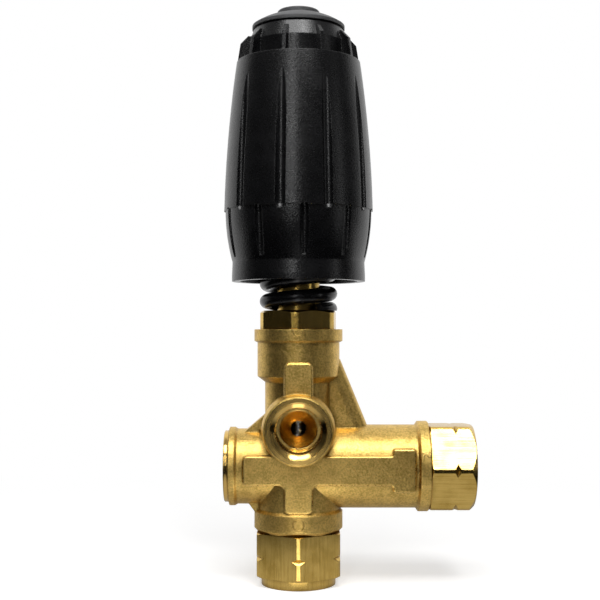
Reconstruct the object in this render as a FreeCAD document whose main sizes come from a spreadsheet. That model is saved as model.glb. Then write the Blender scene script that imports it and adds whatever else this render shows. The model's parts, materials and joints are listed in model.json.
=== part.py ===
"""Unloader valve of a pressure washer, as a parametric document in millimetres.

A forged brass body has the inlet fitting below it, an open inlet port on the left, the outlet
fitting with a check valve on the right and the bypass port in front. A piston rod runs up
through the guide screwed into the body. The black spring stands on the guide and pulls the
rod up through the plate, the washer and the adjusting knob with its brass insert. Pressure
from the outlet reaches the top of the piston through a drilled passage, pushes the rod down
and lifts the ball off its seat. The origin is the centre of the inlet fitting's mouth, +Z
runs up along the spring and +X along the outlet.
"""

import FreeCAD
import Part
import math
import os
import Sketcher
from types import SimpleNamespace

DIMENSIONS = {
    # inlet and outlet fittings
    "fitting_across": 27.0,
    "fitting_corner_r": 15.25,
    "fitting_notch": 0.95,
    "lip_len": 3.3,
    "lip_r": 12.2,
    "inlet_hex_len": 14.2,
    "outlet_hex_len": 14.5,
    "notch_depth": 0.8,
    "notch_from_mouth": 6.4,
    "hex_edge": 0.6,
    "outlet_chamfer": 1.9,
    "port_thread_r": 7.475,
    "port_depth": 13.0,
    "port_mouth": 0.8,
    "thread_r": 10.3,
    "shank_len": 11.0,
    "relief_depth": 1.4,
    "relief_len": 2.4,
    "face_ring_r": 0.62,
    "flow_r": 4.5,
    "ball_spring_hole_r": 3.25,
    "ball_spring_shelf": 5.0,
    # forged body
    "body_len": 66.0,
    "arm_up": 21.0,
    "flange_len": 6.5,
    "flange_r": 14.5,
    "flange_chamfer": 1.1,
    "flange_slope": 0.9,
    "core_top_up": 33.4,
    "core_slope": 1.2,
    "neck_r": 11.0,
    "neck_end_up": 48.7,
    "neck_cone_len": 1.9,
    "head_r": 13.5,
    "top_flange_len": 3.8,
    "top_flange_r": 14.5,
    "top_flange_chamfer": 0.5,
    "left_arm_r": 12.3,
    "left_arm_len": 24.2,
    "left_collar_r": 12.85,
    "left_collar_len": 3.0,
    "left_ring_r": 11.7,
    "left_ring_len": 1.3,
    "right_arm_r": 13.6,
    "right_arm_len": 42.5,
    "right_collar_r": 14.8,
    "right_collar_len": 4.2,
    "collar_slope": 0.8,
    "boss_up": 12.9,
    "boss_r": 11.05,
    "boss_len": 19.0,
    "boss_root_r": 11.8,
    "boss_root_len": 13.4,
    "boss_root_end": 15.6,
    "boss_edge": 0.5,
    "boss_face_r": 8.9,
    "boss_face_depth": 0.5,
    "boss_port_len": 7.5,
    "boss_step_r": 6.0,
    "boss_step_depth": 1.5,
    "boss_cone_r": 2.5,
    "boss_cone_depth": 2.6,
    "plate_front": 14.2,
    "plate_half": 4.75,
    "plate_left": 17.9,
    "plate_right": 30.0,
    "plate_tab_right": 37.5,
    "plate_tab_half": 6.95,
    "plate_leg_half": 4.65,
    "plate_corner": 1.7,
    "plate_tab_corner": 0.95,
    "plate_edge": 0.7,
    "plate_leg_down": 13.8,
    "plate_leg_up": 34.3,
    "rib_half": 4.5,
    "rib_top_x": 13.7,
    "rib_top_up": 35.2,
    "rib_foot_x": 23.5,
    "rib_foot_up": 11.3,
    "web_half": 4.5,
    "foot_web_half": 4.0,
    "web_reach": 6.9,
    "web_sink": 1.1,
    "web_rise": 4.8,
    "foot_web_reach": 2.0,
    "top_thread_len": 11.5,
    "piston_bore_r": 8.0,
    "piston_foot_room": 0.5,
    "bypass_bore_r": 5.0,
    "seat_bore_r": 6.3,
    "seat_bore_len": 3.6,
    "seat_web": 1.0,
    "inlet_bore_r": 8.5,
    "left_port_len": 12.5,
    "check_bore_start": 20.0,
    "check_bore_r": 7.5,
    "pilot_r": 1.25,
    "pilot_foot_x": 24.0,
    # guide, piston rod and their seals
    "guide_across": 24.0,
    "guide_hex_len": 6.1,
    "guide_corner_r": 13.2,
    "guide_chamfer": 0.8,
    "guide_nose_len": 3.5,
    "spigot_r": 7.0,
    "spigot_len": 11.4,
    "running_gap": 0.05,
    "seal_gap": 0.03,
    "thread_gap": 0.05,
    "thread_runout": 0.5,
    "thread_mouth": 0.6,
    "rod_r": 4.0,
    "tip_r": 2.5,
    "piston_len": 6.0,
    "stop_boss_r": 5.5,
    "stop_boss_len": 3.4,
    "stroke": 2.5,
    "piston_groove_depth": 2.0,
    "piston_groove_len": 3.4,
    "piston_ring_r": 1.0,
    "backup_len": 1.2,
    "rod_groove_depth": 2.2,
    "rod_groove_len": 3.6,
    "rod_groove_up": 3.0,
    "rod_ring_r": 1.05,
    "guide_ring_r": 0.9,
    "wiper_len": 2.6,
    "wiper_lip_len": 0.8,
    "wiper_depth": 1.6,
    "rod_tail_len": 24.5,
    "rod_end_chamfer": 0.8,
    # seat, ball and check valve
    "seat_hole_r": 3.5,
    "seat_ring_r": 0.8,
    "ball_r": 5.0,
    "ball_spring_wire_r": 0.4,
    "ball_spring_mean_r": 3.9,
    "ball_spring_turns": 7.0,
    "poppet_r": 6.4,
    "poppet_len": 3.2,
    "poppet_nose_r": 3.6,
    "poppet_tip_r": 2.15,
    "poppet_nose_len": 5.0,
    "poppet_tail_r": 3.4,
    "poppet_tail_len": 3.6,
    "check_ring_r": 0.7,
    "check_ring_mean_r": 5.3,
    "check_spring_mean_r": 5.0,
    "check_spring_wire_r": 0.4,
    "check_spring_turns": 4.0,
    # main spring and what it pushes on
    "spring_len": 55.4,
    "spring_outer_r": 12.8,
    "spring_wire_r": 2.3,
    "spring_turns": 7.2,
    "spring_coil_gap": 0.12,
    "spring_start_deg": -52.0,
    "plate_disc_r": 13.6,
    "plate_disc_len": 3.0,
    "plate_spigot_r": 7.6,
    "plate_spigot_len": 5.0,
    "washer_r": 9.5,
    "washer_len": 1.5,
    # knob, insert, nut and cap
    "knob_skirt_len": 50.3,
    "rim_r": 21.9,
    "rim_len": 1.9,
    "collar_len": 6.2,
    "collar_r": 21.7,
    "seam_up": 23.0,
    "lower_seam_r": 24.0,
    "lower_round": 66.0,
    "seam_step": 0.45,
    "upper_round": 400.0,
    "shoulder_r": 20.3,
    "knob_wall": 2.6,
    "hub_web_len": 4.0,
    "insert_across": 19.0,
    "insert_len": 14.0,
    "insert_gap": 0.02,
    "thread_hole_gap": 0.05,
    "cut_over": 1.0,
    "well_r": 11.5,
    "crown_rise": 10.6,
    "cap_room": 8.65,
    "crown_r": 14.8,
    "crown_foot_r": 16.4,
    "crown_taper_len": 4.7,
    "pocket_depth": 6.0,
    "shell_lip": 1.6,
    "fin_half": 0.65,
    "fin_top_r": 16.6,
    "fin_top_down": 1.9,
    "fin_bend_r": 19.1,
    "fin_bend_down": 4.5,
    "flute_count": 10.0,
    "upper_flute_r": 1.6,
    "upper_flute_low": 1.3,
    "upper_fade_r": 21.13,
    "upper_fade_len": 6.0,
    "lower_flute_r": 1.3,
    "lower_flute_high": 0.6,
    "lower_flute_end_up": 7.5,
    "flute_turn_deg": 4.5,
    "stop_nut_r": 7.5,
    "stop_nut_len": 5.0,
    "stop_nut_gap": 0.3,
    "cap_r": 15.2,
    "cap_gap": 0.45,
    "cap_rim_len": 1.1,
    "cap_dome_up": 4.7,
    "cap_dome_radius": 24.0,
    "button_r": 6.9,
    "button_len": 1.5,
    "button_round": 0.3,
    "cap_plug_len": 6.0,
    "cap_plug_wall": 1.8,
}

SHEET = "dims"
ROOT_THREE = math.sqrt(3.0)
STANDING = FreeCAD.Rotation()
TO_RIGHT = FreeCAD.Rotation(FreeCAD.Vector(0, 1, 0), 90)
TO_LEFT = FreeCAD.Rotation(FreeCAD.Vector(0, 1, 0), -90)
TO_FRONT = FreeCAD.Rotation(FreeCAD.Vector(1, 0, 0), 90)
CORNER_TO_FRONT = 30.0
GUIDE_TURN = -5.0
FULL_TURN = 360.0
FINE_WIRE_SIDES = 8
ROD_HOLE_SIDES = 24
GROOVE_ROOM = 1.1
SIXTH_TURN = 60.0


class Size:
    """A length that keeps both its number and the sheet formula that it comes from."""

    def __init__(self, number, formula):
        self.number = number
        self.formula = formula

    def __add__(self, other):
        return Size(self.number + number(other), f"({self.formula} + {formula(other)})")

    __radd__ = __add__

    def __sub__(self, other):
        return Size(self.number - number(other), f"({self.formula} - {formula(other)})")

    def __rsub__(self, other):
        return Size(number(other) - self.number, f"({formula(other)} - {self.formula})")

    def __mul__(self, factor):
        return Size(self.number * factor, f"({self.formula} * {factor!r})")

    def __truediv__(self, factor):
        return Size(self.number / factor, f"({self.formula} / {factor!r})")

    def __neg__(self):
        return Size(-self.number, f"(0 - {self.formula})")


def number(value):
    return value.number if isinstance(value, Size) else float(value)


def formula(value):
    return value.formula if isinstance(value, Size) else repr(float(value))


def write_sheet(document):
    """Puts every driving dimension into its own named cell."""
    sheet = document.addObject("Spreadsheet::Sheet", SHEET)
    for row, (alias, value) in enumerate(DIMENSIONS.items(), start=1):
        sheet.set(f"A{row}", alias)
        sheet.set(f"B{row}", str(value))
        sheet.setAlias(f"B{row}", alias)
    document.recompute()
    return SimpleNamespace(
        **{alias: Size(value, f"{SHEET}.{alias}") for alias, value in DIMENSIONS.items()}
    )


def bind(thing, path, value):
    if isinstance(value, Size):
        thing.setExpression(path, value.formula)
    else:
        setattr(thing, path, value)


def place(thing, rotation=STANDING, x=0.0, y=0.0, z=0.0):
    """Moves and turns a sub-part, with each coordinate bound to its formula."""
    thing.Placement = FreeCAD.Placement(FreeCAD.Vector(number(x), number(y), number(z)), rotation)
    for axis, value in (("x", x), ("y", y), ("z", z)):
        if isinstance(value, Size):
            thing.setExpression(f"Placement.Base.{axis}", value.formula)
    return thing


def place_turned(thing, turn, up):
    """Lifts a sub-part and turns it about Z."""
    place(thing, FreeCAD.Rotation(FreeCAD.Vector(0, 0, 1), turn.number), z=up)
    thing.setExpression("Placement.Rotation.Angle", turn.formula)
    return thing


def pin_point(sketch, line, end, kind, value):
    """Ties one sketch point to an axis, or sets its signed distance from the origin."""
    axis = -2 if kind == "DistanceX" else -1
    if not isinstance(value, Size) and value == 0:
        sketch.addConstraint(Sketcher.Constraint("PointOnObject", line, end, axis))
        return
    size = number(value)
    if size >= 0:
        index = sketch.addConstraint(Sketcher.Constraint(kind, -1, 1, line, end, size))
        text = formula(value)
    else:
        index = sketch.addConstraint(Sketcher.Constraint(kind, line, end, -1, 1, -size))
        text = formula(-value)
    if isinstance(value, Size):
        sketch.setExpression(f"Constraints[{index}]", text)


def arc_between(start, end, radius):
    """Arc from start to end that bulges to the right of that direction."""
    chord = end - start
    half = chord.Length / 2
    rise = radius - math.sqrt(radius * radius - half * half)
    right = FreeCAD.Vector(chord.y, -chord.x, 0).normalize()
    return Part.Arc(start, (start + end) / 2 + right * rise, end)


def draw_loop(sketch, outline):
    """Adds a closed outline: points (u, v), or (u, v, radius) where an arc leads to the next."""
    first = sketch.GeometryCount
    count = len(outline)
    spots = [FreeCAD.Vector(number(point[0]), number(point[1]), 0) for point in outline]
    for step, point in enumerate(outline):
        start, end = spots[step], spots[(step + 1) % count]
        if len(point) == 3:
            sketch.addGeometry(arc_between(start, end, number(point[2])), False)
        else:
            sketch.addGeometry(Part.LineSegment(start, end), False)
    for step in range(count):
        following = first + (step + 1) % count
        sketch.addConstraint(Sketcher.Constraint("Coincident", first + step, 2, following, 1))
    for step, point in enumerate(outline):
        pin_point(sketch, first + step, 1, "DistanceX", point[0])
        pin_point(sketch, first + step, 1, "DistanceY", point[1])
        if len(point) == 3:
            radius = Sketcher.Constraint("Radius", first + step, number(point[2]))
            index = sketch.addConstraint(radius)
            if isinstance(point[2], Size):
                sketch.setExpression(f"Constraints[{index}]", point[2].formula)


def origin_feature(body, role):
    return next(item for item in body.Origin.OriginFeatures if item.Role == role)


def add_sketch(body, role, *outlines, turn=0.0, up=0.0):
    """Draws outlines on one of the body's own planes, turned about Z or raised along it."""
    sketch = body.newObject("Sketcher::SketchObject", "Outline")
    sketch.AttachmentSupport = [(origin_feature(body, role), "")]
    sketch.MapMode = "FlatFace"
    if role == "XZ_Plane":
        turned_by = FreeCAD.Rotation(FreeCAD.Vector(0, 1, 0), turn)
        sketch.AttachmentOffset = FreeCAD.Placement(FreeCAD.Vector(), turned_by)
    else:
        sketch.AttachmentOffset = FreeCAD.Placement(FreeCAD.Vector(0, 0, number(up)), STANDING)
        if isinstance(up, Size):
            sketch.setExpression("AttachmentOffset.Base.z", up.formula)
    for outline in outlines:
        draw_loop(sketch, outline)
    return sketch


def turned(document, label, outline):
    """A body of revolution about its own Z, from an outline of (radius, height) points."""
    body = document.addObject("PartDesign::Body", label)
    sketch = add_sketch(body, "XZ_Plane", outline)
    feature = body.newObject("PartDesign::Revolution", "Turned")
    feature.Profile = sketch
    feature.ReferenceAxis = (sketch, ["V_Axis"])
    feature.Angle = FULL_TURN
    document.recompute()
    return body


def plate(document, label, outline, half):
    """A flat piece that stands in the XZ plane, half as thick each way."""
    body = document.addObject("PartDesign::Body", label)
    add_plate(body, outline, half)
    document.recompute()
    return body


def add_plate(body, outline, half, turn=0.0):
    feature = body.newObject("PartDesign::Pad", "Plate")
    feature.Profile = add_sketch(body, "XZ_Plane", outline, turn=turn)
    feature.SideType = "Symmetric"
    bind(feature, "Length", half * 2)
    return feature


def hexagon(across, phase):
    """Corner points of a hexagon with the given size across its flats."""
    corners = []
    for step in range(6):
        angle = math.radians(SIXTH_TURN * step + phase)
        corners.append((across * (math.cos(angle) / ROOT_THREE),
                        across * (math.sin(angle) / ROOT_THREE)))
    return corners


def mill_flats(body, across, low, length, phase=CORNER_TO_FRONT):
    """Cuts the six spanner flats of a turned body between two heights."""
    outer = hexagon(across * 2, phase)
    sketch = add_sketch(body, "XY_Plane", outer, hexagon(across, phase), up=low)
    cut_up(body, sketch, length, "Flats")


def cut_up(body, sketch, length, name):
    before = body.Shape.Volume
    feature = body.newObject("PartDesign::Pocket", name)
    feature.Profile = sketch
    feature.Reversed = True
    bind(feature, "Length", length)
    body.Document.recompute()
    if not body.Shape.Volume < before:
        raise RuntimeError(f"{name} of {body.Label} cuts nothing")


def repeat_round(body, feature, count):
    """Repeats one feature evenly about the body's Z axis."""
    pattern = body.newObject("PartDesign::PolarPattern", "Round")
    pattern.Originals = [feature]
    pattern.Axis = (origin_feature(body, "Z_Axis"), [""])
    pattern.Angle = FULL_TURN
    pattern.Occurrences = int(round(count.number))
    body.Tip = pattern
    body.Document.recompute()
    return pattern


def ring(document, label, mean_r, section_r):
    """An O-ring about its own Z."""
    torus = document.addObject("Part::Torus", label)
    bind(torus, "Radius1", mean_r)
    bind(torus, "Radius2", section_r)
    return torus


def tube(document, label, inner_r, outer_r, length):
    return turned(document, label,
                  [(inner_r, 0), (outer_r, 0), (outer_r, length), (inner_r, length)])


def joined(document, label, *pieces):
    fuse = document.addObject("Part::MultiFuse", label)
    fuse.Shapes = list(pieces)
    fuse.Refine = True
    return fuse


def cut_from(document, label, base, tool):
    cut = document.addObject("Part::Cut", label)
    cut.Base = base
    cut.Tool = tool
    cut.Refine = True
    return cut


def coil_wire(mean_r, rises, turns, start):
    """Helices in a row on one cylinder, each with its own rise and number of turns."""
    edges = []
    height = 0.0
    angle = start
    for rise, count in zip(rises, turns):
        helix = Part.makeHelix(rise / count, rise, mean_r)
        helix.rotate(FreeCAD.Vector(), FreeCAD.Vector(0, 0, 1), angle)
        helix.translate(FreeCAD.Vector(0, 0, height))
        edges.extend(helix.Edges)
        height += rise
        angle += count * FULL_TURN
    return Part.Wire(edges)


def wire_section(wire, wire_r, sides):
    """The wire's section at its lower end: a circle, or a polygon of as much area."""
    first = wire.Edges[0]
    heading = first.tangentAt(first.FirstParameter)
    centre = first.valueAt(first.FirstParameter)
    if not sides:
        return Part.Wire([Part.makeCircle(wire_r, centre, heading)])
    across = FreeCAD.Vector(0, 0, 1).cross(heading).normalize()
    up = heading.cross(across)
    step = 2 * math.pi / sides
    corner_r = wire_r * math.sqrt(step / math.sin(step))
    corners = [centre + across * (corner_r * math.cos(step * k)) + up * (corner_r * math.sin(step * k))
               for k in range(sides)]
    return Part.makePolygon(corners + corners[:1])


def coil_spring(document, label, length, mean_r, wire_r, turns, coil_gap, start=0.0, sides=0):
    """A spring of round or many-sided wire with a closed, flat-ground coil at each end."""
    closed = 2 * wire_r + coil_gap
    wire = coil_wire(mean_r, (closed, length - 2 * closed, closed), (1.0, turns, 1.0), start)
    swept = wire.makePipeShell([wire_section(wire, wire_r, sides)], True, True)
    reach = mean_r + 2 * wire_r
    between = Part.makeCylinder(reach, length)
    spring = document.addObject("Part::Feature", label)
    spring.Shape = swept.common(between)
    return spring


def fitting_outline(d, hex_low, hex_len, lip_len, open_edge, bore):
    """Turned outline of a hexagon fitting: lip, hexagon with notched corners, relief, shank."""
    corner_r = d.fitting_corner_r
    hex_top = hex_low + hex_len
    middle = hex_low + d.notch_from_mouth
    thread = d.thread_r - d.thread_gap
    shank_top = hex_top + d.shank_len
    outer = [
        (corner_r - open_edge, hex_low),
        (corner_r, hex_low + open_edge),
        (corner_r, middle - d.fitting_notch),
        (corner_r - d.notch_depth, middle),
        (corner_r, middle + d.fitting_notch),
        (corner_r, hex_top - d.hex_edge / 2),
        (corner_r - d.hex_edge, hex_top),
        (thread - d.relief_depth, hex_top),
        (thread - d.relief_depth, hex_top + d.relief_len),
        (thread, hex_top + d.relief_len),
        (thread, shank_top - d.port_mouth),
        (thread - d.port_mouth, shank_top),
    ]
    if lip_len is None:
        lip = [(d.port_thread_r + d.port_mouth, hex_low)]
    else:
        lip = [(d.port_thread_r, hex_low - lip_len),
               (d.lip_r, hex_low - lip_len),
               (d.lip_r, hex_low)]
    return lip + outer + bore(shank_top)


def make_inlet_fitting(document, d, z):
    def bore(shank_top):
        shelf = z.ball_spring_foot
        return [(d.flow_r, shank_top), (d.flow_r, shelf), (d.ball_spring_hole_r, shelf),
                (d.ball_spring_hole_r, d.port_depth + d.flow_r),
                (d.port_thread_r, d.port_depth)]

    outline = fitting_outline(d, d.lip_len, d.inlet_hex_len, d.lip_len, d.hex_edge, bore)
    body = turned(document, "inlet_fitting", [(outline[0][0], 0), (outline[1][0], 0)] + outline[2:])
    mill_flats(body, d.fitting_across, d.lip_len, d.inlet_hex_len)
    return body


def make_outlet_fitting(document, d, z):
    """Built mouth down like the inlet, then laid along X with its mouth outwards."""
    def bore(shank_top):
        return [(d.flow_r, shank_top), (d.flow_r, d.port_depth + d.flow_r / 2),
                (d.port_thread_r, d.port_depth), (d.port_thread_r, d.port_mouth)]

    outline = fitting_outline(d, 0.0, d.outlet_hex_len, None, d.outlet_chamfer, bore)
    body = turned(document, "outlet_fitting", outline)
    mill_flats(body, d.fitting_across, 0.0, d.outlet_hex_len)
    return place(body, TO_LEFT, x=d.right_arm_len + d.outlet_hex_len, z=z.arm)


def make_body(document, d, z):
    """The forging with its arms, boss, ribs and label plates, and every bore cut in it."""
    flange_top = z.base + d.flange_len
    core = turned(document, "Core", [
        (0, z.base), (d.flange_r - d.flange_chamfer, z.base),
        (d.flange_r, z.base + d.flange_chamfer), (d.flange_r, flange_top),
        (d.right_arm_r, flange_top + d.flange_slope), (d.right_arm_r, z.base + d.core_top_up),
        (d.neck_r, z.base + d.core_top_up + d.core_slope), (d.neck_r, z.base + d.neck_end_up),
        (d.head_r, z.base + d.neck_end_up + d.neck_cone_len),
        (d.head_r, z.top - d.top_flange_len - d.top_flange_chamfer),
        (d.top_flange_r, z.top - d.top_flange_len), (d.top_flange_r, z.top), (0, z.top)])
    left_collar = d.left_arm_len - d.left_ring_len
    left = turned(document, "LeftArm", [
        (0, 0), (d.left_arm_r, 0), (d.left_arm_r, left_collar - d.left_collar_len),
        (d.left_collar_r, left_collar - d.left_collar_len + d.collar_slope),
        (d.left_collar_r, left_collar - d.collar_slope / 2), (d.left_ring_r, left_collar),
        (d.left_ring_r, d.left_arm_len - d.boss_edge / 2),
        (d.left_ring_r - d.boss_edge / 2, d.left_arm_len), (0, d.left_arm_len)])
    place(left, TO_LEFT, z=z.arm)
    right = turned(document, "RightArm", [
        (0, 0), (d.right_arm_r, 0), (d.right_arm_r, d.right_arm_len - d.right_collar_len),
        (d.right_collar_r, d.right_arm_len - d.right_collar_len + d.collar_slope),
        (d.right_collar_r, d.right_arm_len - d.collar_slope / 2),
        (d.right_collar_r - d.collar_slope / 2, d.right_arm_len), (0, d.right_arm_len)])
    place(right, TO_RIGHT, z=z.arm)
    boss = turned(document, "Boss", [
        (0, 0), (d.boss_root_r, 0), (d.boss_root_r, d.boss_root_len),
        (d.boss_r, d.boss_root_end), (d.boss_r, d.boss_len - d.boss_edge),
        (d.boss_r - d.boss_edge, d.boss_len), (0, d.boss_len)])
    place(boss, TO_FRONT, z=z.port)
    solids = [core, left, right, boss, make_label_plates(document, d, z)]
    solids += make_ribs(document, d, z)
    forging = joined(document, "Forging", *solids)
    return cut_from(document, "valve_body", forging, make_bores(document, d, z))


def make_label_plates(document, d, z):
    """The raised cross in front that carries nothing: a bar with an end tab and two legs."""
    low, high = z.arm - d.plate_half, z.arm + d.plate_half
    tab_low, tab_high = z.arm - d.plate_tab_half, z.arm + d.plate_tab_half
    leg = d.plate_leg_half
    foot, crown = z.arm - d.plate_leg_down, z.arm + d.plate_leg_up
    body = document.addObject("PartDesign::Body", "LabelPlates")
    feature = body.newObject("PartDesign::Pad", "Plate")
    feature.Profile = add_sketch(body, "XZ_Plane", [
        (-d.plate_left, low), (-leg, low), (-leg, foot), (leg, foot), (leg, low),
        (d.plate_right, low), (d.plate_right, tab_low), (d.plate_tab_right, tab_low),
        (d.plate_tab_right, tab_high), (d.plate_right, tab_high), (d.plate_right, high),
        (leg, high), (leg, crown), (-leg, crown), (-leg, high), (-d.plate_left, high)])
    bind(feature, "Length", d.plate_front)
    document.recompute()
    tab_edge = number(d.plate_right) - number(d.plate_edge)
    tab = edges_where(body.Shape, lambda edge: along_y(edge) > 1.0 and edge.BoundBox.XMin > tab_edge)
    round_edges(body, tab, d.plate_tab_corner)
    cross = edges_where(body.Shape, lambda edge: along_y(edge) > 1.0 and edge.BoundBox.XMax < tab_edge)
    round_edges(body, cross, d.plate_corner)
    rim = edges_where(body.Shape, lambda edge: edge.BoundBox.YMax < 0.01 - number(d.plate_front))
    round_edges(body, rim, d.plate_edge)
    return body


def along_y(edge):
    return edge.BoundBox.YLength


def edges_where(shape, wanted):
    """Names of the edges that a test picks out."""
    return [f"Edge{index}" for index, edge in enumerate(shape.Edges, start=1) if wanted(edge)]


def round_edges(body, names, radius):
    sharp = body.Tip
    feature = body.newObject("PartDesign::Fillet", "Rounded")
    feature.Base = (sharp, names)
    bind(feature, "Radius", radius)
    body.Tip = feature
    body.Document.recompute()


def make_ribs(document, d, z):
    """The web to the left arm, the small web at the flange and the drilled rib on the right."""
    left_web = plate(document, "LeftWeb", [
        (0, z.arm), (-(d.neck_r + d.web_reach), z.arm),
        (-(d.neck_r + d.web_reach), z.arm + d.left_arm_r - d.web_sink),
        (-d.neck_r, z.arm + d.left_arm_r + d.web_rise), (0, z.arm + d.left_arm_r + d.web_rise)],
        d.web_half)
    flange_top = z.base + d.flange_len
    foot_web = plate(document, "FootWeb", [
        (0, flange_top - d.foot_web_reach), (-(d.flange_r - d.web_sink), flange_top - d.web_sink),
        (-(d.flange_r + d.foot_web_reach), flange_top + d.foot_web_reach + d.web_sink),
        (-(d.flange_r + d.foot_web_reach), z.arm), (0, z.arm)], d.foot_web_half)
    return [left_web, foot_web] + make_pilot_rib(document, d, z)


def make_pilot_rib(document, d, z):
    """The round-backed rib that the slanted passage runs in, and the web behind it."""
    run, rise = d.rib_foot_x - d.rib_top_x, d.rib_top_up - d.rib_foot_up
    length = math.hypot(run.number, rise.number)
    in_x, in_z = d.rib_half * (rise.number / length), d.rib_half * (run.number / length)
    head = (d.rib_top_x - in_x, z.arm + d.rib_top_up - in_z)
    foot = (d.rib_foot_x - in_x, z.arm + d.rib_foot_up - in_z)
    back = slanted_rod(document, "RibBack", d.rib_half, foot, head)
    web = plate(document, "RibWeb", [(0, z.arm), (foot[0], z.arm), foot, head, (0, head[1])],
                d.rib_half)
    return [back, web]


def slanted_rod(document, label, radius, foot, head):
    """A cylinder in the XZ plane from one (x, z) point up to another on its left."""
    run, rise = foot[0] - head[0], head[1] - foot[1]
    rod = document.addObject("Part::Cylinder", label)
    bind(rod, "Radius", radius)
    rod.setExpression("Height", f"hypot({run.formula}; {rise.formula})")
    slant = math.degrees(math.atan2(run.number, rise.number))
    place(rod, FreeCAD.Rotation(FreeCAD.Vector(0, -1, 0), slant), x=foot[0], z=foot[1])
    rod.setExpression("Placement.Rotation.Angle", f"atan2({run.formula}; {rise.formula})")
    return rod


def make_bores(document, d, z):
    """Every cavity of the body as one tool."""
    mouth = d.thread_mouth
    up_bore = turned(document, "UprightBores", [
        (0, z.base), (d.thread_r + mouth, z.base), (d.thread_r, z.base + mouth),
        (d.thread_r, z.inlet_bore), (d.inlet_bore_r, z.inlet_bore),
        (d.inlet_bore_r, z.seat), (d.seat_bore_r, z.seat), (d.seat_bore_r, z.seat_top),
        (d.bypass_bore_r, z.seat_top), (d.bypass_bore_r, z.piston_bore),
        (d.piston_bore_r, z.piston_bore), (d.piston_bore_r, z.top_thread),
        (d.thread_r, z.top_thread), (d.thread_r, z.top), (0, z.top)])
    left_bore = turned(document, "LeftBores", [
        (0, 0), (d.flow_r, 0), (d.flow_r, d.left_arm_len - d.left_port_len),
        (d.port_thread_r, d.left_arm_len - d.left_port_len),
        (d.port_thread_r, d.left_arm_len - d.port_mouth),
        (d.port_thread_r + d.port_mouth, d.left_arm_len), (0, d.left_arm_len)])
    place(left_bore, TO_LEFT, z=z.arm)
    thread_low = d.right_arm_len - d.shank_len - d.thread_runout
    right_bore = turned(document, "RightBores", [
        (0, 0), (d.flow_r, 0), (d.flow_r, d.check_bore_start),
        (d.check_bore_r, d.check_bore_start), (d.check_bore_r, thread_low),
        (d.thread_r, thread_low), (d.thread_r, d.right_arm_len - mouth),
        (d.thread_r + mouth, d.right_arm_len), (0, d.right_arm_len)])
    place(right_bore, TO_RIGHT, z=z.arm)
    step_y = d.boss_len - d.boss_face_depth - d.boss_port_len
    cone_y = step_y - d.boss_step_depth
    front_bore = turned(document, "FrontBores", [
        (0, 0), (d.boss_cone_r, 0), (d.boss_cone_r, cone_y - d.boss_cone_depth),
        (d.boss_step_r, cone_y), (d.boss_step_r, step_y), (d.port_thread_r, step_y),
        (d.port_thread_r, d.boss_len - d.boss_face_depth),
        (d.boss_face_r, d.boss_len - d.boss_face_depth), (d.boss_face_r, d.boss_len),
        (0, d.boss_len)])
    place(front_bore, TO_FRONT, z=z.port)
    return joined(document, "Bores", up_bore, left_bore, right_bore, front_bore,
                  make_pilot(document, d, z))


def make_pilot(document, d, z):
    """The slanted passage from the check valve's chamber to the top of the piston."""
    head = (d.piston_bore_r - d.pilot_r, z.piston + d.piston_len + d.stop_boss_len / 2)
    foot = (d.pilot_foot_x, z.arm + d.check_bore_r / 2)
    return slanted_rod(document, "PilotPassage", d.pilot_r, foot, head)


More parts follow.
